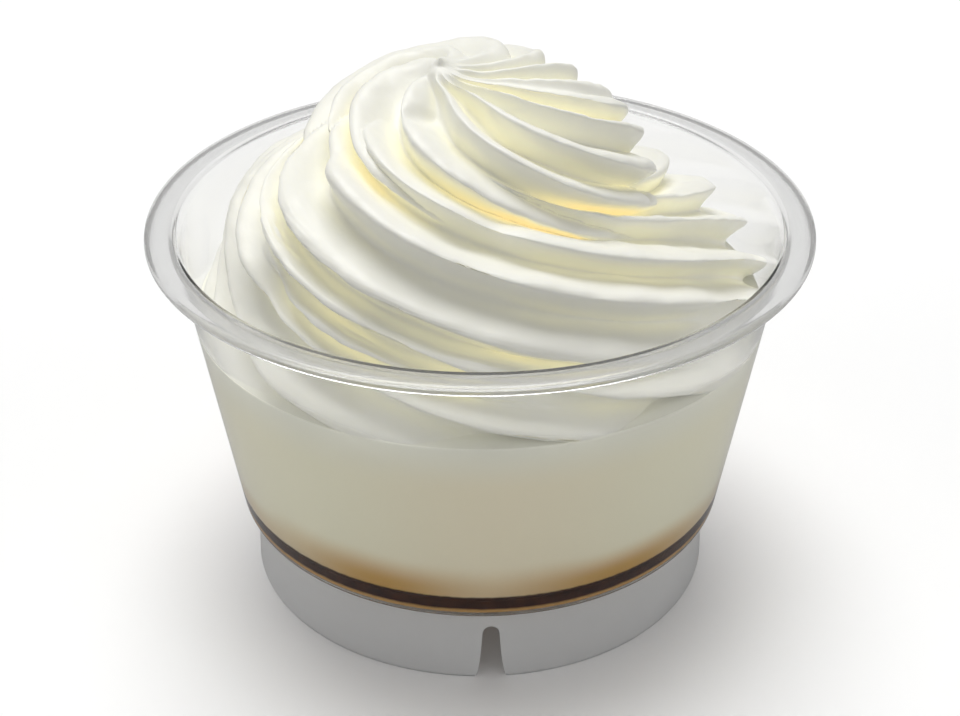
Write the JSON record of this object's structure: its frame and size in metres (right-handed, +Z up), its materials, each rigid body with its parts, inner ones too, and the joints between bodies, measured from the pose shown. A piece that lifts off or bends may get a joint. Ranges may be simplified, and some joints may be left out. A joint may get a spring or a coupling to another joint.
{
  "type": "pudding cup",
  "caption": "Clear plastic dessert cup on a ring foot, with a caramel layer, custard pudding and a ridged swirl of piped cream heaped over the rim.",
  "frame": {"origin": "centre of the ring foot, on the surface that the cup stands on", "axes": "+Z up along the cup's axis, -Y towards the front, +X to the right seen from the front"},
  "size_m": [0.095, 0.095, 0.082],
  "materials": {
    "clear_plastic": "clear moulded plastic, slightly milky, glossy",
    "caramel": "dark brown caramel sauce, glossy",
    "custard": "pale yellow set custard, smooth and slightly moist",
    "whipped_cream": "white whipped cream, soft with a slight sheen"
  },
  "bodies": {
    "root": {"cup": "clear_plastic", "caramel": "caramel", "pudding": "custard", "cream": "whipped_cream"}
  },
  "joints": []
}
